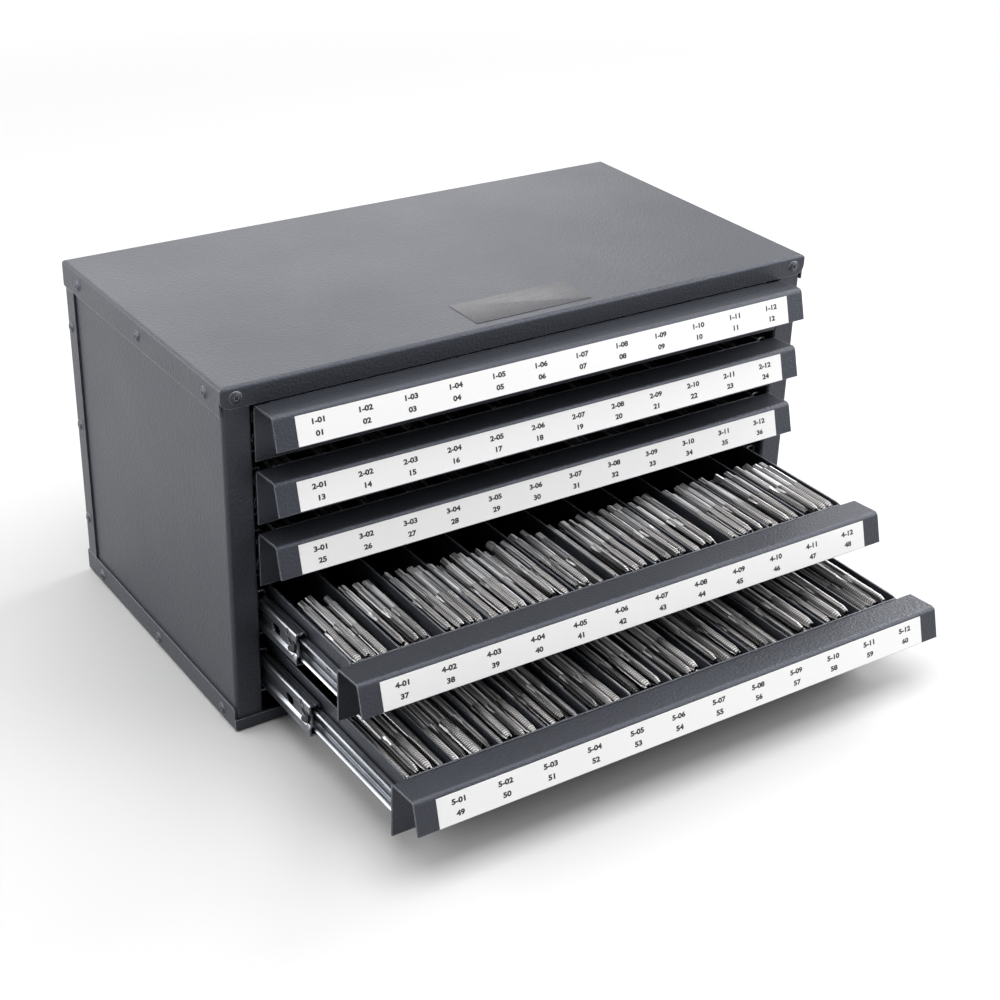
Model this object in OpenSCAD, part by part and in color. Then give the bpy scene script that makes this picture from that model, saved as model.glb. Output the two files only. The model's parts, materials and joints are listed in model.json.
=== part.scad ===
// Steel cabinet whose drawers store taps and dies in narrow compartments.
// Every drawer runs on a left and a right three-section ball slide.
// The origin is the centre of the base's underside. X runs across the
// front, the drawers open towards -Y and Z is up. Lengths are millimetres.

/* [Casing] */
// Width over the lapped side flanges
cabinet_w = 360; // [320:1:460]
// Depth from the front face to the back face, without the handles
cabinet_d = 193; // [180:1:260]
// Thickness of the casing and drawer front steel
sheet = 1; // [0.8:0.1:1.2]
// Inside radius of the casing bends
bend_r = 1; // [0.6:0.1:1.5]
// Gap between lapped sheets
seam = 0.2; // [0.1:0.05:0.4]

/* [Lid and base] */
// Depth of the lid's side and rear flanges
lid_side_drop = 14.6; // [13:0.1:17]
// Depth of the lid's front flange
lid_front_drop = 11.2; // [10:0.1:12.5]
// Radius of the front flange's lower corners
lid_corner_r = 5.4; // [2:0.1:6]
// Gap between the lid's front flange and the first drawer front
head_gap = 0.8; // [0.5:0.1:4]
// Height of the base's side and rear flanges
base_side_rise = 13.6; // [12:0.1:16]
// Height of the base's front flange
base_front_rise = 7.2; // [5:0.1:10]
// Radius of the front top corner of the base's side flanges
base_corner_r = 4; // [2:0.1:5]
// Gap between the base's front flange and the last drawer front
foot_gap = 5.9; // [5:0.1:12]

/* [Back and uprights] */
// Width of the strip that the back panel folds round each side
back_wrap = 12.9; // [11:0.1:18]
// Width of each front upright, from the cabinet's side to the drawer opening
stile_w = 16.6; // [14:0.1:24]
// Depth of the flange that each front upright turns back inside
stile_return = 20; // [16:0.5:26]
// Length of the rear upright's flange on the side panel
post_foot = 12; // [8:0.5:16]
// Length of the rear upright's face behind the slides
post_face = 20; // [18:0.5:24]

/* [Casing screws] */
// Diameter of the thread
screw_d = 3; // [2.5:0.1:3.5]
// Diameter of the domed head
screw_head_d = 6.8; // [6:0.1:7.5]
// Height of the domed head
screw_head_h = 1.2; // [1:0.1:2]
// Length below the head
screw_l = 6; // [4:0.5:10]
// Clearance round a screw or rivet in its hole
screw_fit = 0.1; // [0.05:0.05:0.3]
// Drop of the lid's side screws below the top
lid_screw_drop = 8.1; // [6:0.1:9]
// Distance of the lid's first side screw from the front
lid_screw_front = 17; // [10:0.5:30]
// Drop of the lid's front screws below the top
lid_front_screw_drop = 5.8; // [5:0.1:6.5]
// Distance of the lid's front screws from the side
lid_front_screw_in = 8.1; // [6:0.1:10]
// Height of the base's side screws above the floor
base_screw_up = 6; // [5:0.1:8]
// Distance of the base's first side screw from the front
base_screw_front = 15.4; // [10:0.5:30]
// Distance of the last side screws from the back
rear_screw_in = 20.8; // [16:0.1:30]
// Distance of the wrap's screws from the back
wrap_screw_in = 6.1; // [5.5:0.1:7]
// Distance of the wrap's outer screws from the cabinet's top and bottom
wrap_screw_end = 37; // [25:0.5:60]

/* [Drawer fronts] */
// Height from one drawer to the next
drawer_pitch = 34.45; // [33:0.05:45]
// Height of the back plate of each front
front_h = 29.8; // [28.5:0.1:31]
// Gap between a front and the uprights beside it
front_gap = 0.8; // [0.5:0.1:1.5]
// Depth of a closed front behind the cabinet's front face
front_inset = 0.4; // [0.1:0.1:1]
// Reach of the finger pull's top
pull_depth = 18.7; // [15:0.1:24]
// Rise of the finger pull's top towards its front bend
pull_rise = 1.25; // [0:0.05:2]
// Drop of the lip's lower edge below the top of the back plate
lip_drop = 15.3; // [12:0.1:20]
// Distance that the lip leans out at its lower edge
lip_lean = 4.46; // [1:0.1:6]
// Inside radius of the front's two bends
pull_bend_r = 1.6; // [1:0.1:3]

/* [Label strips] */
// Thickness of the label strip
label_t = 0.3; // [0.2:0.05:0.5]
// Distance of the label below the lip's bend
label_top = 1.6; // [1.2:0.1:3]
// Margin between the label and the lip's lower edge
label_edge = 0.3; // [0.1:0.1:2]
// Distance between the label's end and the end of the front
label_end = 11.4; // [5:0.1:30]

/* [Trays] */
// Compartments in each drawer
compartments = 12; // [6:1:16]
// Thickness of the tray and divider steel
tray_sheet = 0.8; // [0.6:0.1:1]
// Inside radius of the tray's bends
tray_bend_r = 0.8; // [0.5:0.1:1.2]
// Height of the tray
tray_h = 27; // [24:0.1:28]
// Drop of the tray's top edge below the top of the front
tray_drop = 0.8; // [0.4:0.1:1.2]
// Room between a closed tray and the back panel
tray_room = 17.4; // [8:0.1:22]
// Radius of the front top corners of the tray's side walls
tray_corner_r = 4; // [2:0.1:6]
// Width of the foot on which each divider is welded down
divider_foot = 6; // [4:0.1:8]
// Gap at each end of a divider
divider_fit = 0.2; // [0.1:0.05:0.5]

/* [Slide section] */
// Thickness of the rolled slide steel
rail_t = 1; // [0.8:0.05:1.1]
// Diameter of the bearing balls
ball_d = 2.8; // [2.6:0.1:3]
// Clearance between a ball and its race
race_gap = 0.1; // [0.05:0.01:0.15]
// Height of the middle member
middle_h = 18.7; // [18:0.1:19.2]
// Gap between the webs of the outer and middle members
web_gap = 0.6; // [0.5:0.05:0.9]
// Gap between the middle member and the tray
side_room = 0.45; // [0.3:0.05:0.8]
// Slope of the line between an outer and an inner ball row
row_angle = 64; // [62:1:66]
// Turn of a race's lip past the middle of its ball
lip_turn = 5; // [0:1:8]
// Slope of the middle member's web where it turns into its outer races
middle_lead = 22; // [18:1:26]
// Depth of the recess pressed into the middle member's web
press_depth = 1.2; // [0.8:0.05:1.3]
// Height of the recess's flat bottom
press_h = 6; // [5.8:0.1:6.4]
// Slope of the recess's long sides
press_slope = 40; // [36:1:50]
// Slope of the inner member's web where it turns into its races
inner_lead = 20; // [16:1:24]
// Turn of the inner member's races past the bottom of their balls
inner_wrap = 60; // [40:1:64]
// Bend radius in the slide steel, as a share of a race's radius
rail_bend_share = 0.42; // [0.3:0.01:0.5]

/* [Middle member's openings] */
// Height of the windows in the web
window_h = 5; // [4:0.1:5.6]
// Length of a window
window_l = 8; // [6:0.1:14]
// Distance of the first window behind the front end
window_front = 23; // [18:0.1:30]
// Width of the slanted slot for the end stop
stop_slot_w = 3; // [2.4:0.1:3.2]
// Distance of the slot's lower end behind the front end
stop_slot_front = 3.6; // [3:0.1:5]
// Distance from the slot's lower end to its upper end
stop_slot_l = 5.4; // [4:0.1:7]
// Rise of the slot's upper end above the web's middle
stop_slot_rise = 1.3; // [0.8:0.1:1.3]
// Diameter of the hole over the slot
stop_hole_d = 2; // [1.6:0.1:2.2]
// Height of that hole above the web's middle
stop_hole_rise = 6.1; // [5.8:0.1:6.2]

/* [Slide lengths] */
// Distance of the outer members behind the cabinet's front face
slide_front = 7; // [3.4:0.1:7.5]
// Room between the outer members and the cabinet's back face
slide_rear = 18; // [18:0.5:24]
// Length by which the middle member is shorter than the outer member
middle_short = 18; // [17:0.5:24]
// Length by which the inner member is shorter than the outer member
inner_short = 8; // [6:0.5:14]
// Part of the outer member's length that a drawer doesn't travel
travel_short = 10; // [8:0.5:20]
// Setback of a middle member's front end when its drawer is shut
middle_lag = 5; // [3:0.1:12]
// The same setback on the lowest drawer
middle_lag_low = 17.6; // [6:0.1:17.8]

/* [Ball cages] */
// Thickness of the cage strips at the balls
cage_t = 0.8; // [0.6:0.05:1]
// Thickness of the inner cage's web
cage_web_t = 0.5; // [0.4:0.05:0.55]
// Gap between a cage and the members beside it
cage_gap = 0.3; // [0.25:0.01:0.35]
// Length of a cage, as a share of the outer member's length
cage_share = 0.333; // [0.25:0.001:0.4]
// Room that a cage keeps from the end of a member at the ends of its travel
cage_stop = 2; // [0.5:0.5:3]
// Distance between the balls in a row
ball_step = 12; // [8:0.5:20]

/* [Slide fixings] */
// Diameter of the slide screws and rivets
pin_d = 3; // [2.4:0.1:3.2]
// Diameter of a slide screw's flat head
flat_head_d = 5.2; // [4.6:0.1:5.6]
// Reach of a slide screw behind the outer member
slide_screw_l = 3.4; // [2:0.1:6]
// Distance of the outer members' screws from each end
outer_screw_end = 9; // [7:0.5:11]
// Diameter of a rivet's head
rivet_head_d = 5; // [4:0.1:6]
// Height of a rivet's head
rivet_head_h = 1; // [0.6:0.1:1.4]
// Height of a rivet's closed end inside the tray
rivet_tail_h = 0.6; // [0.4:0.1:1]
// Drop of the front's rivets below the top of the front
front_rivet_drop = 9; // [6:0.5:14]
// Distance of the inner members' first rivet from the drawer front
inner_rivet_front = 12; // [9:0.5:20]
// Distance of the inner members' last rivet from their rear end
inner_rivet_rear = 14; // [10:0.5:30]

/* [Drawers at rest] */
// Opening of the first drawer
open_1 = 0; // [0:0.1:150]
// Opening of the second drawer
open_2 = 0; // [0:0.1:150]
// Opening of the third drawer
open_3 = 0; // [0:0.1:150]
// Opening of the fourth drawer
open_4 = 77.9; // [0:0.1:150]
// Opening of the lowest drawer
open_low = 127.7; // [0:0.1:150]

/* [Hidden] */
opening = [open_1, open_2, open_3, open_4, open_low];
drawers = len(opening);
casing_kinds = ["lid", "side_panel_left", "side_panel_right", "back_panel", "base_panel",
    "slide_post_left", "slide_post_right", "casing_screws", "slide_screws"];
drawer_kinds = ["outer_rails", "outer_cages", "middle_rails", "inner_cages", "inner_rails",
    "tray", "dividers", "front", "label_strip", "rivets"];

$fn = 48;
cut = 1;
bend_steps = 5;
race_steps = 8;

// Colours of the finishes
paint = "#44474f";
zinc = "#b9bcc0";
cage_black = "#1c1c1e";
label_white = "#f2f2f0";

// Heights and places of the casing
lap = sheet + seam;
centre_bend = bend_r + sheet / 2;
head_drop = lid_front_drop + head_gap;
cabinet_h = head_drop + (drawers - 1) * drawer_pitch + front_h + foot_gap + base_front_rise;
front_y = -cabinet_d / 2;
back_y = cabinet_d / 2;
side_x = cabinet_w / 2;
rail_x = side_x - stile_w;
panel_x = side_x - lap - sheet / 2;
upright_h = cabinet_h - 2 * lap;

// Places of the drawers
front_w = 2 * (rail_x - front_gap);
function drawer_y(i) = front_y + front_inset - opening[i - 1];
function drawer_z(i) = cabinet_h - head_drop - (i - 1) * drawer_pitch;
function slide_z(i) = drawer_z(i) - front_h / 2;

// Section of the slides: u runs from the cabinet's side to the tray, v is up
race_r = ball_d / 2 + race_gap;
race_mid = race_r + rail_t / 2;
rail_bend = rail_bend_share * race_mid;
outer_u = 2 * rail_t + web_gap + race_r;
inner_v = middle_h / 2 - race_r - rail_t;
inner_u = outer_u + 2 * race_mid * cos(row_angle);
outer_v = inner_v + 2 * race_mid * sin(row_angle);
slide_t = inner_u + race_r + rail_t + side_room;
middle_u = 3 * rail_t / 2 + web_gap;
press_run = press_depth / tan(press_slope);

// Lengths and places along the slides
outer_l = cabinet_d - slide_front - slide_rear;
middle_l = outer_l - middle_short;
inner_l = outer_l - inner_short;
travel = outer_l - travel_short;
cage_l = cage_share * outer_l;
inner_start = sheet + seam;
function lag(i) = i == drawers ? middle_lag_low : middle_lag;
function middle_y(i) = front_y + lag(i) - opening[i - 1] / 2;
function outer_cage_y(i) = front_y + slide_front + cage_stop + (travel - opening[i - 1]) / 4;
function inner_cage_y(i) = front_y + middle_lag_low + cage_stop + travel / 4 - 3 * opening[i - 1] / 4;

// Sizes of the trays
tray_w = 2 * (rail_x - slide_t);
tray_d = cabinet_d - 2 * lap - front_inset - sheet - tray_room;
tray_in_w = tray_w - 2 * tray_sheet;
pocket_pitch = tray_in_w / compartments;
floor_z = -tray_drop - tray_h;

// Path of a drawer front through the middle of its sheet, as [y, z]
front_path = [[sheet / 2, -front_h], [sheet / 2, -sheet / 2],
    [sheet / 2 - pull_depth, pull_rise - sheet / 2], [sheet / 2 - pull_depth - lip_lean, -lip_drop]];

// Heading of the line from a to b, and its normal on the left
function heading(a, b) = atan2(b.y - a.y, b.x - a.x);
function left_of(a, b) = let (h = heading(a, b)) [-sin(h), cos(h)];
function short_turn(turn) = turn > 180 ? turn - 360 : turn <= -180 ? turn + 360 : turn;

// Points of an arc
function arc(centre, r, from, to, steps = bend_steps) =
    [for (k = [0 : steps]) let (a = from + (to - from) * k / steps) centre + r * [cos(a), sin(a)]];

// Points that round the corner b of the path a, b, c
function corner(a, b, c, r) =
    let (h = heading(a, b), turn = short_turn(heading(b, c) - h), side = sign(turn),
        start = b - r * tan(abs(turn) / 2) * [cos(h), sin(h)],
        centre = start + side * r * [-sin(h), cos(h)])
    arc(centre, r, h - side * 90, h - side * 90 + turn);

// A path with every inner corner rounded, and a closed outline with a radius for each corner
function rounded(path, r) =
    let (last = len(path) - 1)
    concat([path[0]], [for (i = [1 : last - 1]) each corner(path[i - 1], path[i], path[i + 1], r)],
        [path[last]]);
function rounded_loop(path, radii) =
    let (n = len(path))
    [for (i = [0 : n - 1]) each radii[i] == 0 ? [path[i]]
        : corner(path[(i + n - 1) % n], path[i], path[(i + 1) % n], radii[i])];

// Outline of a strip of thickness t along a path
function beside(path, i, t) =
    let (last = len(path) - 1,
        before = left_of(path[max(i - 1, 0)], path[max(i, 1)]),
        after = left_of(path[min(i, last - 1)], path[min(i + 1, last)]))
    path[i] + t * (before + after) / (1 + before * after);
function ribbon(path, t) =
    let (last = len(path) - 1)
    concat([for (i = [0 : last]) beside(path, i, t / 2)],
        [for (i = [last : -1 : 0]) beside(path, i, -t / 2)]);

function rest(list) = [for (k = [1 : len(list) - 1]) list[k]];
function upside_down(path) = [for (k = [len(path) - 1 : -1 : 0]) [path[k].x, -path[k].y]];
function rectangle(w, low, high) = [[-w / 2, low], [w / 2, low], [w / 2, high], [-w / 2, high]];

// Extrusions: an outline's x and y become Y and Z, or X and Z
module along_x(length) rotate([90, 0, 90]) linear_extrude(length, center = true) children();
module along_y(length) rotate([90, 0, 0]) linear_extrude(length, center = true) children();
module pair() {
    children();
    mirror([1, 0, 0]) children();
}

// Block with rounded lower edges, and the open pan that sheet of thickness t folds into
module pan_block(w, d, h, r) {
    intersection() {
        along_y(d) polygon(rounded_loop(rectangle(w, 0, h), [r, r, 0, 0]));
        along_x(w) polygon(rounded_loop(rectangle(d, 0, h), [r, r, 0, 0]));
    }
}
module pan(w, d, h, t, r) {
    difference() {
        pan_block(w, d, h, r + t);
        translate([0, 0, t]) pan_block(w - 2 * t, d - 2 * t, h, r);
    }
}

// Cutters that trim a pan's front wall or its side walls to a rounded outline
module front_trim(w, d, h, t, rise, r) {
    translate([0, (t - d - cut) / 2, 0]) difference() {
        along_y(t + cut) polygon(rectangle(w + 2 * cut, -cut, h + cut));
        along_y(t + 2 * cut) polygon(rounded_loop(rectangle(w, -2 * cut, rise), [0, 0, r, r]));
    }
}
module side_trim(w, d, h, t, r) {
    pair() translate([(w - t + cut) / 2, 0, 0]) difference() {
        along_x(t + cut) polygon(rectangle(2 * r - d, h - r, h + cut) + [for (k = [0 : 3]) [-d / 2, 0]]);
        along_x(t + 2 * cut) polygon(rounded_loop(rectangle(d, -cut, h), [0, 0, 0, r]));
    }
}

// Places of the casing screws, with Z pointing out of the cabinet
module at_side(depth, height) {
    for (s = [-1, 1]) translate([s * side_x, front_y + depth, height]) rotate([0, s * 90, 0]) children();
}
module at_three(first) {
    last = cabinet_d - rear_screw_in;
    for (depth = [first, (first + last) / 2, last]) at_side(depth, 0) children();
}
module lid_places() {
    translate([0, 0, cabinet_h - lid_screw_drop]) at_three(lid_screw_front) children();
    for (s = [-1, 1])
        translate([s * (side_x - lid_front_screw_in), front_y, cabinet_h - lid_front_screw_drop])
            rotate([90, 0, 0]) children();
}
module base_places() translate([0, 0, base_screw_up]) at_three(base_screw_front) children();
module wrap_places() {
    for (height = [wrap_screw_end, cabinet_h / 2, cabinet_h - wrap_screw_end])
        at_side(cabinet_d - wrap_screw_in, height) children();
}
module screw_hole() translate([0, 0, -screw_l]) cylinder(h = screw_l + cut, d = screw_d + 2 * screw_fit);

// Places of the flat-headed slide screws, with Z pointing from the casing into the slide
module slide_screw_places(i) {
    for (s = [-1, 1]) for (depth = [outer_screw_end, outer_l - outer_screw_end])
        translate([s * rail_x, front_y + slide_front + depth, slide_z(i)])
            rotate([0, -s * 90, 0]) children();
}
module all_slide_screw_places() {
    for (i = [1 : drawers]) slide_screw_places(i) children();
}
module slide_screw_hole() {
    translate([0, 0, -slide_screw_l - cut]) cylinder(h = slide_screw_l + 2 * cut, d = pin_d + 2 * screw_fit);
}

// The lid: a folded pan turned over, its front flange shorter and round at the lower corners
module lid() {
    color(paint) difference() {
        translate([0, 0, cabinet_h]) mirror([0, 0, 1]) difference() {
            pan(cabinet_w, cabinet_d, lid_side_drop, sheet, bend_r);
            front_trim(cabinet_w, cabinet_d, lid_side_drop, sheet, lid_front_drop, lid_corner_r);
        }
        lid_places() screw_hole();
    }
}

// The base: a folded pan whose side flanges lap outside the side panels
module base_panel() {
    color(paint) difference() {
        pan(cabinet_w, cabinet_d, base_side_rise, sheet, bend_r);
        front_trim(cabinet_w, cabinet_d, base_side_rise, sheet, base_front_rise, 0);
        side_trim(cabinet_w, cabinet_d, base_side_rise, sheet, base_corner_r);
        base_places() screw_hole();
    }
}

// One side panel, folded round the front into an upright and its inner return flange
module side_panel() {
    rear = back_y - 2 * lap;
    fore = front_y + lap + sheet / 2;
    turn_x = rail_x + sheet / 2;
    color(paint) difference() {
        translate([0, 0, lap]) linear_extrude(upright_h) polygon(ribbon(rounded(
            [[panel_x, rear], [panel_x, fore], [turn_x, fore], [turn_x, fore + stile_return]],
            centre_bend), sheet));
        lid_places() screw_hole();
        base_places() screw_hole();
        wrap_places() screw_hole();
        all_slide_screw_places() slide_screw_hole();
    }
}
module side_panel_right() side_panel();
module side_panel_left() mirror([1, 0, 0]) side_panel();

// The back: a sheet between lid and base whose edges fold forward round the side panels
module back_panel() {
    mid_y = back_y - lap - sheet / 2;
    wrap_x = side_x - sheet / 2;
    color(paint) difference() {
        union() {
            translate([lap - side_x, mid_y - sheet / 2, lap]) cube([cabinet_w - 2 * lap, sheet, upright_h]);
            translate([0, 0, base_side_rise + seam])
                linear_extrude(cabinet_h - base_side_rise - lid_side_drop - 2 * seam)
                    polygon(ribbon(rounded([[-wrap_x, back_y - back_wrap], [-wrap_x, mid_y],
                        [wrap_x, mid_y], [wrap_x, back_y - back_wrap]], centre_bend), sheet));
        }
        wrap_places() screw_hole();
    }
}

// One rear upright: a foot on the side panel, a web and the face that carries the slides
module slide_post() {
    foot_x = panel_x - sheet;
    face_x = rail_x + sheet / 2;
    rear = front_y + slide_front + outer_l;
    color(paint) difference() {
        translate([0, 0, lap]) linear_extrude(upright_h) polygon(ribbon(rounded(
            [[foot_x, rear - post_face - post_foot], [foot_x, rear - post_face],
                [face_x, rear - post_face], [face_x, rear]], centre_bend), sheet));
        all_slide_screw_places() slide_screw_hole();
    }
}
module slide_post_right() slide_post();
module slide_post_left() mirror([1, 0, 0]) slide_post();

// Domed casing screws
module dome(d, h) {
    ball_r = (d * d / 4 + h * h) / (2 * h);
    intersection() {
        translate([0, 0, h - ball_r]) sphere(ball_r);
        cylinder(h = h, d = d);
    }
}
module casing_screw() {
    dome(screw_head_d, screw_head_h);
    translate([0, 0, -screw_l]) cylinder(h = screw_l, d = screw_d);
}
module casing_screws() {
    color(paint) {
        lid_places() casing_screw();
        base_places() casing_screw();
        wrap_places() casing_screw();
    }
}

// Flat-headed screws that hold the outer members
module slide_screw() {
    cylinder(h = rail_t, d1 = pin_d, d2 = flat_head_d);
    translate([0, 0, -slide_screw_l]) cylinder(h = slide_screw_l, d = pin_d);
}
module slide_screws() color(zinc) all_slide_screw_places() slide_screw();

// Upper halves of the three slide sections, through the middle of the steel
function outer_half() =
    let (u = rail_t / 2, v = outer_v + race_mid)
    concat(corner([u, 0], [u, v], [outer_u, v], rail_bend),
        arc([outer_u, outer_v], race_mid, 90, -lip_turn, race_steps));

// Upper half of the recess in the middle member's web, and of the cage web that follows it
function press_half(u, grow) =
    let (foot = press_h / 2 + grow)
    [[u + press_depth, 0], [u + press_depth, foot], [u, foot + press_run]];

function middle_half() =
    let (outer_race = arc([outer_u, outer_v], race_mid, -90 - middle_lead, -row_angle, race_steps),
        inner_race = arc([inner_u, inner_v], race_mid, 180 - row_angle, -lip_turn, race_steps),
        start = outer_race[0],
        peak = [middle_u, start.y + (start.x - middle_u) * tan(middle_lead)],
        web = concat(press_half(middle_u, 0), [peak, start]))
    concat([for (k = [1 : 3]) each corner(web[k - 1], web[k], web[k + 1], rail_bend)],
        outer_race, rest(inner_race));
function inner_half() =
    let (u = slide_t - rail_t / 2,
        race = arc([inner_u, inner_v], race_mid, inner_lead - 90, -90 - inner_wrap, race_steps),
        start = race[0],
        peak = [u, start.y + (u - start.x) * tan(inner_lead)])
    concat(corner([u, 0], peak, start, rail_bend), race);

// A slide member of a given length, its front end at y = 0, on the cabinet's left side
module member(half, length) {
    translate([-rail_x, length / 2, 0])
        along_y(length) polygon(ribbon(concat(upside_down(half), half), rail_t));
}

// Window with round ends through a member's web, centred at a distance from its front end
module web_window(from, length, height) {
    translate([-rail_x, from, 0]) along_x(2 * slide_t) {
        square([length - height, height], center = true);
        for (s = [-1, 1]) translate([s * (length - height) / 2, 0]) circle(d = height);
    }
}

// Outer members, screwed to the uprights
module outer_rails(i) {
    slot_l = outer_l / 6;
    slot_h = pin_d + rail_t;
    color(zinc) difference() {
        translate([0, front_y + slide_front, slide_z(i)]) pair() difference() {
            member(outer_half(), outer_l);
            for (k = [1, 2]) web_window(k * outer_l / 3, slot_l, slot_h);
        }
        slide_screw_places(i) {
            slide_screw_hole();
            translate([0, 0, -screw_fit])
                cylinder(h = rail_t + 2 * screw_fit, d1 = pin_d + screw_fit, d2 = flat_head_d + 3 * screw_fit);
        }
    }
}

// Slanted slot and round hole through a middle member's web, for its end stop
module stop_openings() {
    ends = [[stop_slot_front, -stop_slot_rise], [stop_slot_front + stop_slot_l, stop_slot_rise]];
    translate([-rail_x, 0, 0]) along_x(2 * slide_t) {
        polygon(ribbon(ends, stop_slot_w));
        for (end = ends) translate(end) circle(d = stop_slot_w);
        translate([ends[1].x, stop_hole_rise]) circle(d = stop_hole_d);
    }
}

// Middle members, with windows along the recessed web and the stop's openings at the front end
module middle_rails(i) {
    step = (middle_l - window_front) / 3;
    color(zinc) translate([0, middle_y(i), slide_z(i)]) pair() difference() {
        member(middle_half(), middle_l);
        stop_openings();
        for (k = [0 : 2]) web_window(window_front + k * step, window_l, window_h);
    }
}

// Inner members, riveted to the tray, with slots for their rivets' tools near the front
module inner_rails(i) {
    slot_h = pin_d;
    color(zinc) translate([0, drawer_y(i) + inner_start, slide_z(i)]) pair() difference() {
        member(inner_half(), inner_l);
        web_window(inner_rivet_front + 3 * slot_h, 2 * slot_h, slot_h);
        web_window(inner_l / 2, 3 * slot_h, slot_h);
        for (depth = [inner_rivet_front, inner_l - inner_rivet_rear])
            translate([-rail_x, depth, 0]) along_x(2 * slide_t) circle(d = pin_d + 2 * screw_fit);
    }
}

// Rows of balls in a cage, and the strip that holds them, at one place of the section
module ball_row(u, v) {
    count = floor((cage_l - ball_d) / ball_step);
    for (k = [0 : count])
        translate([u - rail_x, cage_l / 2 + (k - count / 2) * ball_step, v]) sphere(d = ball_d);
}
module cage_strip(from, to, v) {
    translate([from - rail_x, 0, v - cage_t / 2]) cube([to - from, cage_l, cage_t]);
}
module outer_cages(i) {
    color(cage_black) translate([0, outer_cage_y(i), slide_z(i)]) pair() for (s = [-1, 1]) {
        ball_row(outer_u, s * outer_v);
        cage_strip(rail_t + cage_gap, outer_u + race_r - cage_gap, s * outer_v);
    }
}
module inner_cages(i) {
    near = 2 * rail_t + web_gap + cage_gap;
    web_u = near + cage_web_t / 2;
    grow = (web_u - middle_u) * tan(press_slope / 2);
    half = rest(concat(press_half(web_u, grow), [[web_u, inner_v]]));
    slot_l = cage_l / 5;
    color(cage_black) translate([0, inner_cage_y(i), slide_z(i)]) pair() difference() {
        union() {
            for (s = [-1, 1]) {
                ball_row(inner_u, s * inner_v);
                cage_strip(near, inner_u + race_r - cage_gap, s * inner_v);
            }
            translate([-rail_x, cage_l / 2, 0])
                along_y(cage_l) polygon(ribbon(concat(upside_down(half), half), cage_web_t));
        }
        for (k = [1 : 3]) web_window(k * cage_l / 4, slot_l, inner_v);
    }
}

// Trays: pans with low rounded front corners, riveted behind the fronts
module at_drawer(i) translate([0, drawer_y(i), drawer_z(i)]) children();
module tray(i) {
    color(paint) at_drawer(i) difference() {
        translate([0, sheet + tray_d / 2, floor_z]) difference() {
            pan(tray_w, tray_d, tray_h, tray_sheet, tray_bend_r);
            side_trim(tray_w, tray_d, tray_h, tray_sheet, tray_corner_r);
        }
        front_rivet_places() rivet_hole();
        rail_rivet_places() rivet_hole();
    }
}

// Dividers, each with a foot welded to the tray's floor
module dividers(i) {
    foot_v = floor_z + 3 * tray_sheet / 2;
    length = tray_d - 2 * (tray_sheet + divider_fit);
    color(paint) at_drawer(i) for (k = [1 : compartments - 1])
        translate([k * pocket_pitch - tray_in_w / 2, sheet + tray_d / 2, 0])
            along_y(length) polygon(ribbon(rounded(
                [[-divider_foot, foot_v], [0, foot_v], [0, -tray_drop]],
                tray_bend_r + tray_sheet / 2), tray_sheet));
}

// Drawer fronts: one sheet folded into the back plate, the finger pull and its leaning lip
module front(i) {
    color(paint) at_drawer(i) difference() {
        along_x(front_w) polygon(ribbon(rounded(front_path, pull_bend_r + sheet / 2), sheet));
        front_rivet_places() rivet_hole();
    }
}

// Label strips on the lips
module label_strip(i) {
    bend = front_path[2];
    edge = front_path[3];
    way = (edge - bend) / norm(edge - bend);
    out = -(sheet + label_t) / 2 * left_of(bend, edge);
    color(label_white) at_drawer(i) along_x(front_w - 2 * label_end)
        polygon(ribbon([bend + label_top * way + out, edge - label_edge * way + out], label_t));
}

// Rivets, with Z pointing out of the head
module front_rivet_places() {
    for (k = [-3 * compartments / 8, -compartments / 8, compartments / 8, 3 * compartments / 8])
        translate([k * pocket_pitch, 0, -front_rivet_drop]) rotate([90, 0, 0]) children();
}
module rail_rivet_places() {
    for (s = [-1, 1]) for (depth = [inner_rivet_front, inner_l - inner_rivet_rear])
        translate([s * (tray_w / 2 + rail_t), inner_start + depth, -front_h / 2])
            rotate([0, s * 90, 0]) children();
}
module rivet_hole() {
    translate([0, 0, -sheet - rail_t - cut]) cylinder(h = sheet + rail_t + 2 * cut, d = pin_d + 2 * screw_fit);
}
module rivets(i) {
    front_grip = sheet + tray_sheet;
    rail_grip = rail_t + tray_sheet;
    color(zinc) at_drawer(i) {
        front_rivet_places() {
            dome(rivet_head_d, rivet_head_h);
            translate([0, 0, -front_grip]) cylinder(h = front_grip, d = pin_d);
            translate([0, 0, -front_grip]) mirror([0, 0, 1]) dome(rivet_head_d, rivet_tail_h);
        }
        rail_rivet_places() {
            dome(rivet_head_d, rivet_head_h);
            translate([0, 0, -rail_grip]) cylinder(h = rail_grip, d = pin_d);
        }
    }
}

lid();
side_panel_left();
side_panel_right();
back_panel();
base_panel();
slide_post_left();
slide_post_right();
casing_screws();
slide_screws();
for (i = [1 : drawers]) {
    outer_rails(i);
    outer_cages(i);
    middle_rails(i);
    inner_cages(i);
    inner_rails(i);
    tray(i);
    dividers(i);
    front(i);
    label_strip(i);
    rivets(i);
}
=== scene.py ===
"""Looks of the tap and die storage cabinet, built round its packed construction.

The casing, drawers and slides come from the frame and get their finishes here. This script adds
what the frame leaves out: the recessed screw heads, the printed numbers, the foil plate, the stops
in the slides and the taps that fill the compartments. Names ending in _mm are millimetres, and
every other length is in metres.
"""

import json
import logging
import math
import random
from dataclasses import dataclass, field
from enum import Enum

import bmesh
import bpy
from mathutils import Matrix, Vector


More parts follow.
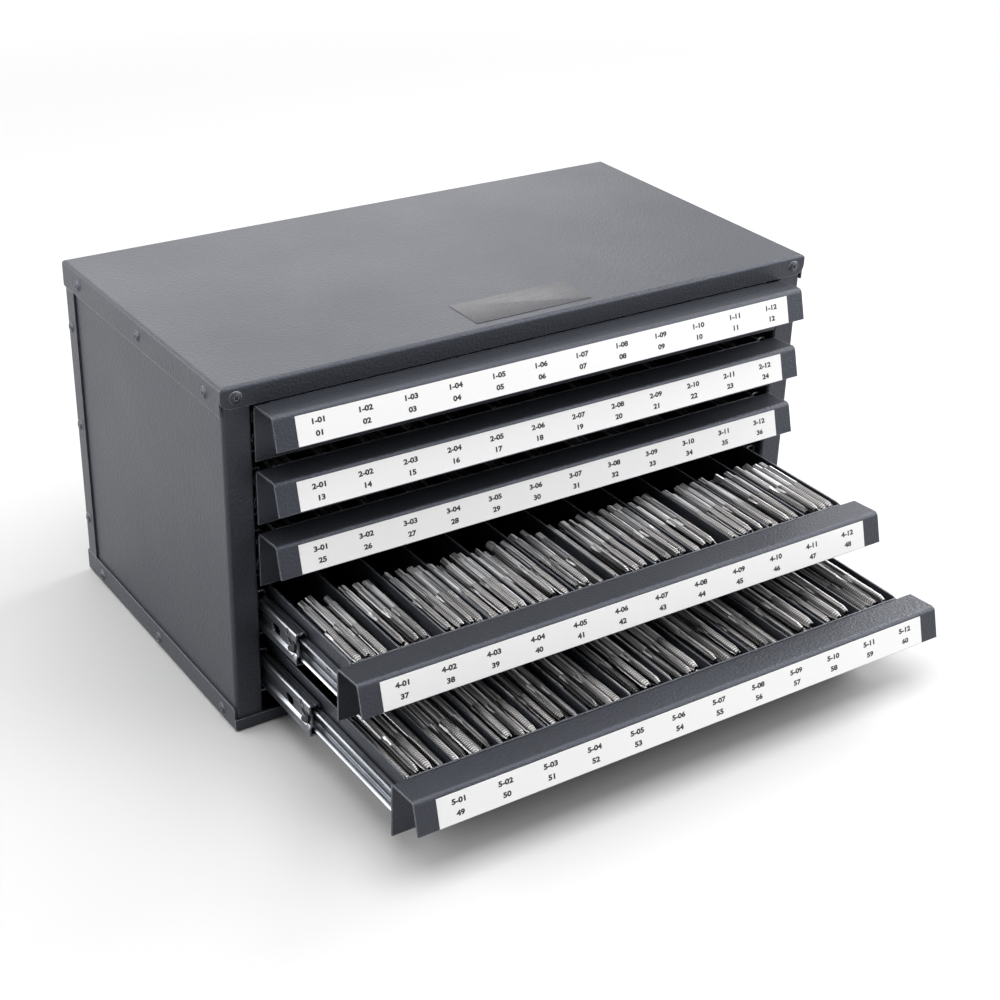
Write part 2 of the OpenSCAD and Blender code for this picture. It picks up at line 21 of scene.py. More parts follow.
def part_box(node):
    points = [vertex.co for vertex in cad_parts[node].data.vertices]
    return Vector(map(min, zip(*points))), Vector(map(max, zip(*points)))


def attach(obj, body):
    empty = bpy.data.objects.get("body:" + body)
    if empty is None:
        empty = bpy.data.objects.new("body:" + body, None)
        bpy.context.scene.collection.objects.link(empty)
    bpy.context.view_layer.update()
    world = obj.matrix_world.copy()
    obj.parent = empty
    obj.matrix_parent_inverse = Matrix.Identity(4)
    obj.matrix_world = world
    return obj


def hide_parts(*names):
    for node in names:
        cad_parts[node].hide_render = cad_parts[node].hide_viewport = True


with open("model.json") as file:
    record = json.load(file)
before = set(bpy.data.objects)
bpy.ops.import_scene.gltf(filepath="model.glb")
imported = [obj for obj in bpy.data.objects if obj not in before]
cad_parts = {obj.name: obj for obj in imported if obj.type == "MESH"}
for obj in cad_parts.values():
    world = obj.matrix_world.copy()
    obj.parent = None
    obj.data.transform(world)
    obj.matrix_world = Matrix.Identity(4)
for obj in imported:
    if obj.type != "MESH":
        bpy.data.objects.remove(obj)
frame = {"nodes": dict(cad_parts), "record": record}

MM = 0.001
DRAWERS = range(1, 6)
COMPARTMENTS = 12

log = logging.getLogger("cabinet")


class Slot(Enum):
    """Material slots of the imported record."""

    POWDER_COAT = "powder_coat"
    ZINC = "zinc"
    CAGE_PLASTIC = "cage_plastic"
    LABEL = "label"


def linear(colour: str) -> tuple[float, float, float, float]:
    """Turn an sRGB hex colour into linear values.

    Args:
        colour: The colour as "#rrggbb".

    Returns:
        Red, green, blue and an alpha of one.
    """
    channels = [int(colour[k:k + 2], 16) / 255 for k in (1, 3, 5)]
    return *(c / 12.92 if c <= 0.04045 else ((c + 0.055) / 1.055) ** 2.4 for c in channels), 1.0


def add_node(tree: bpy.types.NodeTree, kind: str, inputs: dict[str | int, object] | None = None,
             **settings: object) -> bpy.types.Node:
    """Add one shader node with its settings, values and links.

    Args:
        tree: The material's node tree.
        kind: The node's type name.
        inputs: Input name or index, and the value or output socket that it takes.
        **settings: Attributes of the node itself.

    Returns:
        The new node.
    """
    node = tree.nodes.new(kind)
    for name, value in settings.items():
        setattr(node, name, value)
    for key, value in (inputs or {}).items():
        if isinstance(value, bpy.types.NodeSocket):
            tree.links.new(value, node.inputs[key])
        else:
            node.inputs[key].default_value = value
    return node


@dataclass(frozen=True)
class Finish:
    """One finish, whose material is built the first time that a piece asks for it."""

    name: str

    def shade(self, tree: bpy.types.NodeTree) -> bpy.types.Node:
        """Build the finish's nodes and return its shader."""
        raise NotImplementedError

    def material(self) -> bpy.types.Material:
        """Give the material of this finish, and build it if no piece has asked for it yet.

        Returns:
            The one material that all pieces of this finish share.
        """
        made = bpy.data.materials.get(self.name)
        if made is None:
            made = bpy.data.materials.new(self.name)
            made.use_nodes = True
            made.node_tree.nodes.clear()
            shader = self.shade(made.node_tree)
            add_node(made.node_tree, "ShaderNodeOutputMaterial", {"Surface": shader.outputs[0]})
        return made


def grain(tree: bpy.types.NodeTree, size_mm: tuple[float, float, float], detail: float = 2.0) -> bpy.types.NodeSocket:
    """Add noise whose lumps have a real size along each axis of the object.

    Args:
        tree: The material's node tree.
        size_mm: Size of a lump along X, Y and Z.
        detail: Octaves of finer noise.

    Returns:
        The noise's value, from zero to one.
    """
    place = add_node(tree, "ShaderNodeTexCoord").outputs["Object"]
    sized = add_node(tree, "ShaderNodeMapping",
                     {"Vector": place, "Scale": tuple(1 / (mm * MM) for mm in size_mm)})
    noise = add_node(tree, "ShaderNodeTexNoise",
                     {"Vector": sized.outputs[0], "Scale": 1.0, "Detail": detail, "Roughness": 0.55})
    return noise.outputs[0]


def ranged(tree: bpy.types.NodeTree, value: bpy.types.NodeSocket, low: float, high: float,
           start: float = 0.3, end: float = 0.7) -> bpy.types.NodeSocket:
    """Map a noise value to a range.

    Args:
        tree: The material's node tree.
        value: The noise.
        low: Result at the start value.
        high: Result at the end value.
        start: Noise value that gives the low result.
        end: Noise value that gives the high result.

    Returns:
        The mapped value.
    """
    return add_node(tree, "ShaderNodeMapRange",
                    {0: value, 1: start, 2: end, 3: low, 4: high}).outputs[0]


def tinted(tree: bpy.types.NodeTree, share: bpy.types.NodeSocket, first: str | bpy.types.NodeSocket,
           second: str) -> bpy.types.NodeSocket:
    """Mix two colours by a varying share.

    Args:
        tree: The material's node tree.
        share: Share of the second colour.
        first: Colour at zero, as hex or as a socket.
        second: Hex colour at one.

    Returns:
        The mixed colour.
    """
    start = linear(first) if isinstance(first, str) else first
    mix = add_node(tree, "ShaderNodeMix", {0: share, 6: start, 7: linear(second)}, data_type="RGBA")
    return mix.outputs[2]


def along_taps(tree: bpy.types.NodeTree) -> bpy.types.NodeSocket:
    """Give the direction across which a tap's grinding marks run: its own length, along Y."""
    return add_node(tree, "ShaderNodeCombineXYZ", {"Y": 1.0}).outputs[0]


def soft_edge(tree: bpy.types.NodeTree, radius_mm: float) -> bpy.types.NodeSocket:
    """Round the look of sharp edges, where a coat or a die leaves no true corner.

    Args:
        tree: The material's node tree.
        radius_mm: Radius of the rounding.

    Returns:
        The softened normal.
    """
    return add_node(tree, "ShaderNodeBevel", {"Radius": radius_mm * MM}, samples=6).outputs[0]


def near_edge(tree: bpy.types.NodeTree, softened: bpy.types.NodeSocket) -> bpy.types.NodeSocket:
    """Tell how close a place is to a sharp edge, from how far the softening turns its normal.

    Args:
        tree: The material's node tree.
        softened: The softened normal.

    Returns:
        One on the edge, zero away from it.
    """
    true = add_node(tree, "ShaderNodeNewGeometry").outputs["True Normal"]
    alike = add_node(tree, "ShaderNodeVectorMath", {0: softened, 1: true}, operation="DOT_PRODUCT")
    return ranged(tree, alike.outputs["Value"], 1.0, 0.0, 0.82, 0.985)


def looked_at(tree: bpy.types.NodeTree) -> bpy.types.NodeSocket:
    """Tell whether a ray comes from the camera or from a surface that mirrors or lets light through.

    Args:
        tree: The node tree of a backdrop's material or of the world.

    Returns:
        One if it does, else zero.
    """
    rays = add_node(tree, "ShaderNodeLightPath").outputs
    seen = rays["Is Camera Ray"]
    for kind in ("Is Glossy Ray", "Is Transmission Ray"):
        seen = add_node(tree, "ShaderNodeMath", {0: seen, 1: rays[kind]}, operation="MAXIMUM").outputs[0]
    return seen


@dataclass(frozen=True)
class PowderCoat(Finish):
    """Polyester powder coat, baked on sheet steel.

    The melt leaves an orange-peel skin, which breaks a soft gloss into mottling, and its pits are
    painted darker than its crests as painted shade. Each cut edge is painted paler, a painted
    highlight for the light that the edge catches.
    """

    name: str = "slate_powder_coat"
    colour: str = "#232529"
    # Painted shade: the peel's pits keep the darker colour and its crests take this paler one.
    peel_crest_colour: str = "#2b2d32"
    # Painted highlight: sharp edges are painted this pale colour.
    edge_highlight_colour: str = "#a2a5ad"
    sheen_tint: str = "#e6ebff"
    peel_mm: float = 1.3
    peel_depth_mm: float = 0.28
    edge_mm: float = 0.45
    cloud_mm: float = 70.0
    matt: float = 0.42
    gloss: float = 0.36

    def shade(self, tree: bpy.types.NodeTree) -> bpy.types.Node:
        """Build the coat: peel in the bump with painted shade in its pits, a painted highlight on its edges, and
        faint clouds in the gloss.

        Args:
            tree: The material's node tree.

        Returns:
            The finish's shader.
        """
        peel = grain(tree, (self.peel_mm,) * 3)
        cloud = grain(tree, (self.cloud_mm,) * 3)
        softened = soft_edge(tree, self.edge_mm)
        # The peel's pits are painted darker than its crests: painted shade.
        skin = tinted(tree, ranged(tree, peel, 0.0, 1.0), self.colour, self.peel_crest_colour)
        bump = add_node(tree, "ShaderNodeBump",
                        {"Height": peel, "Strength": 1.0, "Distance": self.peel_depth_mm * MM, "Normal": softened})
        return add_node(tree, "ShaderNodeBsdfPrincipled", {
            # Sharp edges are painted paler: a painted highlight.
            "Base Color": tinted(tree, near_edge(tree, softened), skin, self.edge_highlight_colour),
            "Roughness": ranged(tree, cloud, self.gloss, self.matt),
            "IOR": 1.5,
            "Specular Tint": linear(self.sheen_tint),
            "Normal": bump.outputs[0]})


@dataclass(frozen=True)
class RolledZinc(Finish):
    """Bright zinc plate on cold-rolled steel.

    Rolling draws the faintest lines along the slide, and the plate keeps a satin shine.
    """

    name: str = "zinc_plated_steel"
    colour: str = "#989ba0"
    dull_colour: str = "#707378"
    edge_mm: float = 0.25
    bloom_mm: tuple[float, float, float] = (6.0, 40.0, 6.0)
    matt: float = 0.36
    gloss: float = 0.25

    def shade(self, tree: bpy.types.NodeTree) -> bpy.types.Node:
        """Build the plate: a dull bloom, drawn out along the slide, in colour and gloss.

        Args:
            tree: The material's node tree.

        Returns:
            The finish's shader.
        """
        bloom = grain(tree, self.bloom_mm)
        return add_node(tree, "ShaderNodeBsdfPrincipled", {
            "Base Color": tinted(tree, ranged(tree, bloom, 0.0, 1.0), self.colour, self.dull_colour),
            "Metallic": 1.0,
            "Roughness": ranged(tree, bloom, self.gloss, self.matt),
            "Normal": soft_edge(tree, self.edge_mm)})


@dataclass(frozen=True)
class MouldedAcetal(Finish):
    """Black acetal, moulded: a smooth waxy surface with a faint flow mottle."""

    name: str = "black_acetal"
    colour: str = "#0f0f11"
    worn_colour: str = "#1a1a1d"
    mottle_mm: float = 2.5
    matt: float = 0.72
    gloss: float = 0.6

    def shade(self, tree: bpy.types.NodeTree) -> bpy.types.Node:
        """Build the moulding.

        Args:
            tree: The material's node tree.

        Returns:
            The finish's shader.
        """
        mottle = grain(tree, (self.mottle_mm,) * 3)
        return add_node(tree, "ShaderNodeBsdfPrincipled", {
            "Base Color": tinted(tree, ranged(tree, mottle, 0.0, 1.0), self.colour, self.worn_colour),
            "Roughness": ranged(tree, mottle, self.gloss, self.matt),
            "IOR": 1.48})


@dataclass(frozen=True)
class PrintedFilm(Finish):
    """White vinyl film, printed and laminated: matt, with the faintest tooth."""

    name: str = "white_vinyl_film"
    colour: str = "#e7e7e7"
    tooth_mm: float = 0.6
    tooth_depth_mm: float = 0.003
    matt: float = 0.58
    gloss: float = 0.48

    def shade(self, tree: bpy.types.NodeTree) -> bpy.types.Node:
        """Build the film.

        Args:
            tree: The material's node tree.

        Returns:
            The finish's shader.
        """
        tooth = grain(tree, (self.tooth_mm,) * 3)
        bump = add_node(tree, "ShaderNodeBump",
                        {"Height": tooth, "Strength": 1.0, "Distance": self.tooth_depth_mm * MM})
        return add_node(tree, "ShaderNodeBsdfPrincipled", {
            "Base Color": linear(self.colour),
            "Roughness": ranged(tree, tooth, self.gloss, self.matt),
            "IOR": 1.5,
            "Normal": bump.outputs[0]})


@dataclass(frozen=True)
class ThermalInk(Finish):
    """Black thermal-transfer ink: a thin dense resin that varies a little in gloss."""

    name: str = "black_thermal_ink"
    colour: str = "#161617"
    patch_mm: float = 0.8
    matt: float = 0.55
    gloss: float = 0.4

    def shade(self, tree: bpy.types.NodeTree) -> bpy.types.Node:
        """Build the ink.

        Args:
            tree: The material's node tree.

        Returns:
            The finish's shader.
        """
        patch = grain(tree, (self.patch_mm,) * 3)
        return add_node(tree, "ShaderNodeBsdfPrincipled", {
            "Base Color": linear(self.colour),
            "Roughness": ranged(tree, patch, self.gloss, self.matt),
            "IOR": 1.5})


@dataclass(frozen=True)
class GroundSteel(Finish):
    """High-speed steel, ground between centres.

    The wheel marks run round the shank and spread each reflection along the tap. Light and dark
    streaks along it are painted in the colour: partly drying oil, partly painted reflections of the
    lines of light along a ground rod. They are drawn 0.7 mm wide because finer ones would blur away.
    """

    name: str = "ground_tool_steel"
    colour: str = "#c6c6c7"
    # Dark streaks: partly oil, partly painted reflection.
    oil_and_reflection_colour: str = "#525355"
    streak_mm: float = 0.7
    run_mm: float = 70.0
    patch_mm: tuple[float, float, float] = (5.0, 16.0, 5.0)
    matt: float = 0.42
    gloss: float = 0.32

    def shade(self, tree: bpy.types.NodeTree) -> bpy.types.Node:
        """Build the steel: streaks of oil and painted reflection in the colour, and patches of oil in the gloss.

        Args:
            tree: The material's node tree.

        Returns:
            The finish's shader.
        """
        streaks = grain(tree, (self.streak_mm, self.run_mm, self.streak_mm))
        oil = grain(tree, self.patch_mm)
        return add_node(tree, "ShaderNodeBsdfPrincipled", {
            # Oil streaks and painted reflection lines along the tap, in the colour.
            "Base Color": tinted(tree, ranged(tree, streaks, 0.0, 1.0, 0.4, 0.6), self.colour, self.oil_and_reflection_colour),
            "Metallic": 1.0,
            "Roughness": ranged(tree, oil, self.gloss, self.matt),
            "Anisotropic": 1.0,
            "Tangent": along_taps(tree)})


@dataclass(frozen=True)
class CutThread(Finish):
    """High-speed steel with a cut thread, whose grooves are painted darker than its crests as painted shade.

    The pitch is 1.4 mm where the real one is 0.8 to 1.06 mm, which would blur away at this size.
    """

    name: str = "threaded_tool_steel"
    colour: str = "#a7a5a4"
    # Painted shade in the thread's grooves.
    groove_shade_colour: str = "#4b4948"
    pitch_mm: float = 1.4
    thread_depth_mm: float = 0.11
    patch_mm: tuple[float, float, float] = (5.0, 12.0, 5.0)
    matt: float = 0.4
    gloss: float = 0.3

    def shade(self, tree: bpy.types.NodeTree) -> bpy.types.Node:
        """Build the thread: ridges along Y in the bump, painted shade in their grooves, and oil in the gloss.

        Args:
            tree: The material's node tree.

        Returns:
            The finish's shader.
        """
        place = add_node(tree, "ShaderNodeTexCoord").outputs["Object"]
        ridges = add_node(tree, "ShaderNodeTexWave", {
            "Vector": place,
            # A wave texture repeats once in a tenth of pi at a scale of one.
            "Scale": math.pi / (10 * self.pitch_mm * MM)}, bands_direction="Y", wave_profile="TRI")
        oil = grain(tree, self.patch_mm)
        bump = add_node(tree, "ShaderNodeBump", {
            "Height": ridges.outputs["Fac"], "Strength": 1.0, "Distance": self.thread_depth_mm * MM})
        return add_node(tree, "ShaderNodeBsdfPrincipled", {
            # The thread's grooves are painted darker: painted shade.
            "Base Color": tinted(tree, ridges.outputs["Fac"], self.groove_shade_colour, self.colour),
            "Metallic": 1.0,
            "Roughness": ranged(tree, oil, self.gloss, self.matt),
            "Anisotropic": 1.0,
            "Tangent": along_taps(tree),
            "Normal": bump.outputs[0]})


@dataclass(frozen=True)
class BrushedFoil(Finish):
    """Silver polyester foil with a brushed print: fine streaks and grey speckle, left bare."""

    name: str = "brushed_silver_foil"
    colour: str = "#525155"
    speckle_colour: str = "#2f2f32"
    run_mm: float = 12.0
    streak_mm: float = 0.35
    streak_depth_mm: float = 0.004
    speckle_mm: float = 0.7
    matt: float = 0.45
    gloss: float = 0.3

    def shade(self, tree: bpy.types.NodeTree) -> bpy.types.Node:
        """Build the foil.

        Args:
            tree: The material's node tree.

        Returns:
            The finish's shader.
        """
        streaks = grain(tree, (self.run_mm, self.streak_mm, self.streak_mm), 3.0)
        speckle = grain(tree, (self.speckle_mm,) * 3, 3.0)
        bump = add_node(tree, "ShaderNodeBump",
                        {"Height": streaks, "Strength": 1.0, "Distance": self.streak_depth_mm * MM})
        return add_node(tree, "ShaderNodeBsdfPrincipled", {
            "Base Color": tinted(tree, ranged(tree, speckle, 0.0, 1.0), self.colour, self.speckle_colour),
            "Metallic": 0.6,
            "Roughness": ranged(tree, streaks, self.gloss, self.matt),
            "Normal": bump.outputs[0]})


@dataclass(frozen=True)
class StudioFloor(Finish):
    """Seamless white studio paper, which runs out into a plain white background."""

    name: str = "studio_paper"
    colour: str = "#c8c8c8"
    paper_m: float = 0.5
    white_m: float = 1.3

    def shade(self, tree: bpy.types.NodeTree) -> bpy.types.Node:
        """Build the paper near the object, and plain white far from it for the camera and for reflections.

        Args:
            tree: The material's node tree.

        Returns:
            The finish's shader.
        """
        paper = add_node(tree, "ShaderNodeBsdfPrincipled",
                         {"Base Color": linear(self.colour), "Roughness": 0.9})
        white = add_node(tree, "ShaderNodeEmission", {"Color": (1, 1, 1, 1), "Strength": 1.0})
        place = add_node(tree, "ShaderNodeTexCoord").outputs["Object"]
        away = add_node(tree, "ShaderNodeVectorMath", {0: place}, operation="LENGTH").outputs["Value"]
        share = add_node(tree, "ShaderNodeMath",
                         {0: looked_at(tree), 1: ranged(tree, away, 0.0, 1.0, self.paper_m, self.white_m)},
                         operation="MULTIPLY").outputs[0]
        return add_node(tree, "ShaderNodeMixShader", {0: share, 1: paper.outputs[0], 2: white.outputs[0]})


NODE_FINISHES: dict[Slot, Finish] = {
    Slot.POWDER_COAT: PowderCoat(),
    Slot.ZINC: RolledZinc(),
    Slot.CAGE_PLASTIC: MouldedAcetal(),
    Slot.LABEL: PrintedFilm(),
}


def finished_piece(name: str, shape: bmesh.types.BMesh, finishes: list[Finish], body: str,
                   smooth_deg: float = 40.0) -> bpy.types.Object:
    """Turn a shape into a dressed piece that rides on a body.

    Args:
        name: The piece's name.
        shape: Its geometry, in place, which is used up.
        finishes: One finish for each material index in the shape.
        body: The body that it rides on.
        smooth_deg: Edges that turn by more than this stay sharp.

    Returns:
        The new object.
    """
    mesh = bpy.data.meshes.new(name)
    shape.to_mesh(mesh)
    shape.free()
    mesh.polygons.foreach_set("use_smooth", [True] * len(mesh.polygons))
    mesh.set_sharp_from_angle(angle=math.radians(smooth_deg))
    for finish in finishes:
        mesh.materials.append(finish.material())
    piece = bpy.data.objects.new(name, mesh)
    bpy.context.scene.collection.objects.link(piece)
    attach(piece, body)
    log.info("%s: %d faces on %s", name, len(mesh.polygons), body)
    return piece


def stamp(shape: bmesh.types.BMesh, pattern: bpy.types.Mesh, place: Matrix) -> None:
    """Add a placed copy of a mesh to a shape.

    Args:
        shape: The shape that grows.
        pattern: The mesh to copy.
        place: Where the copy goes.
    """
    copy = pattern.copy()
    copy.transform(place)
    shape.from_mesh(copy)
    bpy.data.meshes.remove(copy)


def solids(node: str) -> list[tuple[Vector, Vector]]:
    """Find the separate solids of a frame node.

    Args:
        node: The node's name.

    Returns:
        The lowest and highest corner of each solid, in an order that is the same in every run.
    """
    shape = bmesh.new()
    shape.from_mesh(frame["nodes"][node].data)
    bmesh.ops.remove_doubles(shape, verts=shape.verts, dist=0.001 * MM)
    left, boxes = set(shape.verts), []
    while left:
        found, edge = set(), [left.pop()]
        while edge:
            vertex = edge.pop()
            found.add(vertex)
            linked = {e.other_vert(vertex) for e in vertex.link_edges} & left
            left -= linked
            edge.extend(linked)
        places = [vertex.co for vertex in found]
        boxes.append((Vector(min(p[k] for p in places) for k in range(3)),
                      Vector(max(p[k] for p in places) for k in range(3))))
    shape.free()
    return sorted(boxes, key=lambda box: [round(c / MM, 1) for c in box[0]])


class Casing:
    """The folded sheets, slides and labels of the frame, which only need their finishes."""

    def dress(self) -> None:
        """Give every node the finish of its slot in the record."""
        slots = {s["node"]: Slot(s["material_slot"]) for s in frame["record"]["subparts"]}
        for name, node in frame["nodes"].items():
            node.data.materials.clear()
            node.data.materials.append(NODE_FINISHES[slots[name]].material())
            log.info("%s: dressed as %s", name, slots[name].value)


@dataclass
class CasingScrews:
    """Domed screws with a cross recess, painted over with the casing."""

    head_mm: float = 6.8
    dome_mm: float = 1.2
    shank_mm: float = 3.0
    cross_mm: float = 4.0
    blade_mm: float = 1.1
    recess_mm: float = 1.3
    point_share: float = 0.45
    edge_share: float = 0.7
    dome_steps: int = 5
    turn_steps: int = 24
    sharp_deg: float = 32.0
    seed: int = 7

    def lathe(self, length_mm: float) -> bmesh.types.BMesh:
        """Turn the screw's outline round its axis, head upwards, with the seat of the head at zero.

        Args:
            length_mm: Length of the shank below the head.

        Returns:
            The screw, with a plain dome.
        """
        ball = (self.head_mm ** 2 / 4 + self.dome_mm ** 2) / (2 * self.dome_mm)
        reach = math.asin(self.head_mm / 2 / ball)
        outline = [(0, -length_mm), (self.shank_mm / 2, -length_mm), (self.shank_mm / 2, 0)]
        outline += [(ball * math.sin(reach * (1 - k / self.dome_steps)),
                     self.dome_mm - ball * (1 - math.cos(reach * (1 - k / self.dome_steps))))
                    for k in range(self.dome_steps + 1)]
        shape = bmesh.new()
        points = [shape.verts.new((x * MM, 0, z * MM)) for x, z in outline]
        edges = [shape.edges.new(pair) for pair in zip(points, points[1:])]
        bmesh.ops.spin(shape, geom=points + edges, cent=(0, 0, 0), axis=(0, 0, 1),
                       angle=2 * math.pi, steps=self.turn_steps, use_merge=True)
        bmesh.ops.remove_doubles(shape, verts=shape.verts, dist=0.01 * MM)
        bmesh.ops.recalc_face_normals(shape, faces=shape.faces)
        return shape

    def driver(self) -> bmesh.types.BMesh:
        """Make the cross-shaped cutter, narrower at its point.

        Returns:
            The cutter, standing in the dome.
        """
        shape = bmesh.new()
        for quarter in (0, math.pi / 2):
            blade = bmesh.ops.create_cube(shape, size=1.0)["verts"]
            bmesh.ops.scale(shape, verts=blade, vec=(self.cross_mm * MM, self.blade_mm * MM, 2 * self.recess_mm * MM))
            low = [v for v in blade if v.co.z < 0]
            bmesh.ops.scale(shape, verts=low, vec=(self.point_share, self.edge_share, 1.0))
            bmesh.ops.rotate(shape, verts=blade, cent=(0, 0, 0), matrix=Matrix.Rotation(quarter, 3, "Z"))
        bmesh.ops.translate(shape, verts=shape.verts, vec=(0, 0, self.dome_mm * MM))
        return shape

    def pattern(self, length_mm: float) -> bpy.types.Mesh:
        """Cut the recess into the screw.

        Args:
            length_mm: Length of the shank below the head.

        Returns:
            The screw's mesh.
        """
        parts = []
        for name, shape in (("screw", self.lathe(length_mm)), ("driver", self.driver())):
            mesh = bpy.data.meshes.new(name)
            shape.to_mesh(mesh)
            shape.free()
            parts.append(bpy.data.objects.new(name, mesh))
            bpy.context.scene.collection.objects.link(parts[-1])
        screw, driver = parts
        cut = screw.modifiers.new("recess", "BOOLEAN")
        cut.operation = "DIFFERENCE"
        cut.solver = "EXACT"
        cut.use_self = True
        cut.object = driver
        ready = screw.evaluated_get(bpy.context.evaluated_depsgraph_get())
        mesh = bpy.data.meshes.new_from_object(ready)
        for part in parts:
            bpy.data.objects.remove(part)
        return mesh

    def build(self) -> None:
        """Set a screw on the place of each one in the frame, and let them stand for the frame's node."""
        boxes = solids("casing_screws")
        pattern = self.pattern(max(max(high - low) for low, high in boxes) / MM - self.dome_mm)
        shape = bmesh.new()
        draw = random.Random(self.seed)
        for low, high in boxes:
            size, middle = high - low, (low + high) / 2
            axis = max(range(3), key=lambda k: size[k])
            out = Vector([0, 0, 0])
            out[axis] = math.copysign(1, middle[axis])
            seat = middle + out * (size[axis] / 2 - self.dome_mm * MM)
            turn = out.to_track_quat("Z", "Y").to_matrix().to_4x4()
            spin = Matrix.Rotation(draw.uniform(0, math.pi / 2), 4, "Z")
            stamp(shape, pattern, Matrix.Translation(seat) @ turn @ spin)
        piece = finished_piece("casing_screw_heads", shape, [NODE_FINISHES[Slot.POWDER_COAT]], "cabinet",
                               self.sharp_deg)
        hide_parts("casing_screws")


@dataclass
class FoilPlate:
    """The bare foil plate stuck on the lid, near its front edge."""

    left_mm: float = -33.7
    right_mm: float = 37.9
    front_mm: float = 7.0
    back_mm: float = 34.0
    thick_mm: float = 0.25
    corner_mm: float = 1.0
    rim_mm: float = 0.08

    def build(self) -> None:
        """Lay the plate on the lid."""
        low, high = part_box("lid")
        shape = bmesh.new()
        bmesh.ops.create_cube(shape, size=1.0)
        upright = [e for e in shape.edges if abs(e.verts[0].co.z - e.verts[1].co.z) > 0.5]
        bmesh.ops.scale(shape, verts=shape.verts, vec=(
            (self.right_mm - self.left_mm) * MM, (self.back_mm - self.front_mm) * MM, self.thick_mm * MM))
        bmesh.ops.bevel(shape, geom=upright, offset=self.corner_mm * MM, segments=4, profile=0.5,
                        affect="EDGES", material=-1)
        rim = [e for e in shape.edges if all(v.co.z > 0 for v in e.verts)]
        bmesh.ops.bevel(shape, geom=rim, offset=self.rim_mm * MM, segments=2, profile=0.5,
                        affect="EDGES", material=-1)
        bmesh.ops.translate(shape, verts=shape.verts, vec=(
            (self.left_mm + self.right_mm) / 2 * MM,
            low.y + (self.front_mm + self.back_mm) / 2 * MM,
            high.z + self.thick_mm / 2 * MM))
        finished_piece("foil_plate", shape, [BrushedFoil()], "cabinet")


@dataclass
class LabelPrint:
    """Two lines of plain numbers over each compartment, printed on a drawer's label strip."""

    pitch_mm: float = 25.35
    cap_mm: float = 2.9
    line_mm: float = 3.05
    ink_mm: float = 0.02
    wide_share: float = 1.25
    bold_em: float = 0.05

    def words(self, text: str) -> bpy.types.Mesh:
        """Set one word of print, centred, facing +Z.

        Args:
            text: The digits to print.

        Returns:
            The word's mesh, with capitals of the right height.
        """
        curve = bpy.data.curves.new("print", "FONT")
        curve.body = text
        curve.align_x = "CENTER"
        curve.align_y = "CENTER"
        curve.resolution_u = 3
        curve.offset = self.bold_em
        holder = bpy.data.objects.new("print", curve)
        bpy.context.scene.collection.objects.link(holder)
        bpy.context.view_layer.update()
        size = self.cap_mm * MM / holder.dimensions.y
        curve.extrude = self.ink_mm * MM / size / 2
        bpy.context.view_layer.update()
        mesh = bpy.data.meshes.new_from_object(holder.evaluated_get(bpy.context.evaluated_depsgraph_get()))
        mesh.transform(Matrix.Diagonal((size * self.wide_share, size, size, 1)))
        bpy.data.objects.remove(holder)
        bpy.data.curves.remove(curve)
        return mesh

    def face(self, drawer: int) -> tuple[Vector, Vector]:
        """Find the outer face of a drawer's label strip.

        Args:
            drawer: The drawer's number.

        Returns:
            The face's centre and its normal.
        """
        mesh = frame["nodes"][f"label_strip_{drawer}"].data
        widest = max((p for p in mesh.polygons if p.normal.y < 0), key=lambda p: p.area)
        points = [mesh.vertices[i].co for p in mesh.polygons if p.normal.dot(widest.normal) > 0.999
                  for i in p.vertices]
        centre = Vector((min(p[k] for p in points) + max(p[k] for p in points)) / 2 for k in range(3))
        return centre, widest.normal.copy()

    def build(self, drawer: int) -> None:
        """Print a drawer's strip.

        Args:
            drawer: The drawer's number.
        """
        centre, out = self.face(drawer)
        up = out.cross(Vector((1, 0, 0)))
        up = -up if up.z < 0 else up
        turn = Matrix((Vector((1, 0, 0)), up, out)).transposed().to_4x4()
        shape = bmesh.new()
        for column in range(1, COMPARTMENTS + 1):
            across = (column - (COMPARTMENTS + 1) / 2) * self.pitch_mm * MM
            lines = (f"{drawer}-{column:02d}", 1), (f"{(drawer - 1) * COMPARTMENTS + column:02d}", -1)
            for text, side in lines:
                spot = centre + Vector((across, 0, 0)) + up * side * self.line_mm * MM
                spot += out * self.ink_mm * MM / 2
                mesh = self.words(text)
                stamp(shape, mesh, Matrix.Translation(spot) @ turn)
                bpy.data.meshes.remove(mesh)
        finished_piece(f"label_print_{drawer}", shape, [ThermalInk()], f"drawer_{drawer}")


class Detail(Enum):
    """How closely a tap is modelled, as the number of its sides."""

    SHOWN = 12
    BURIED = 8


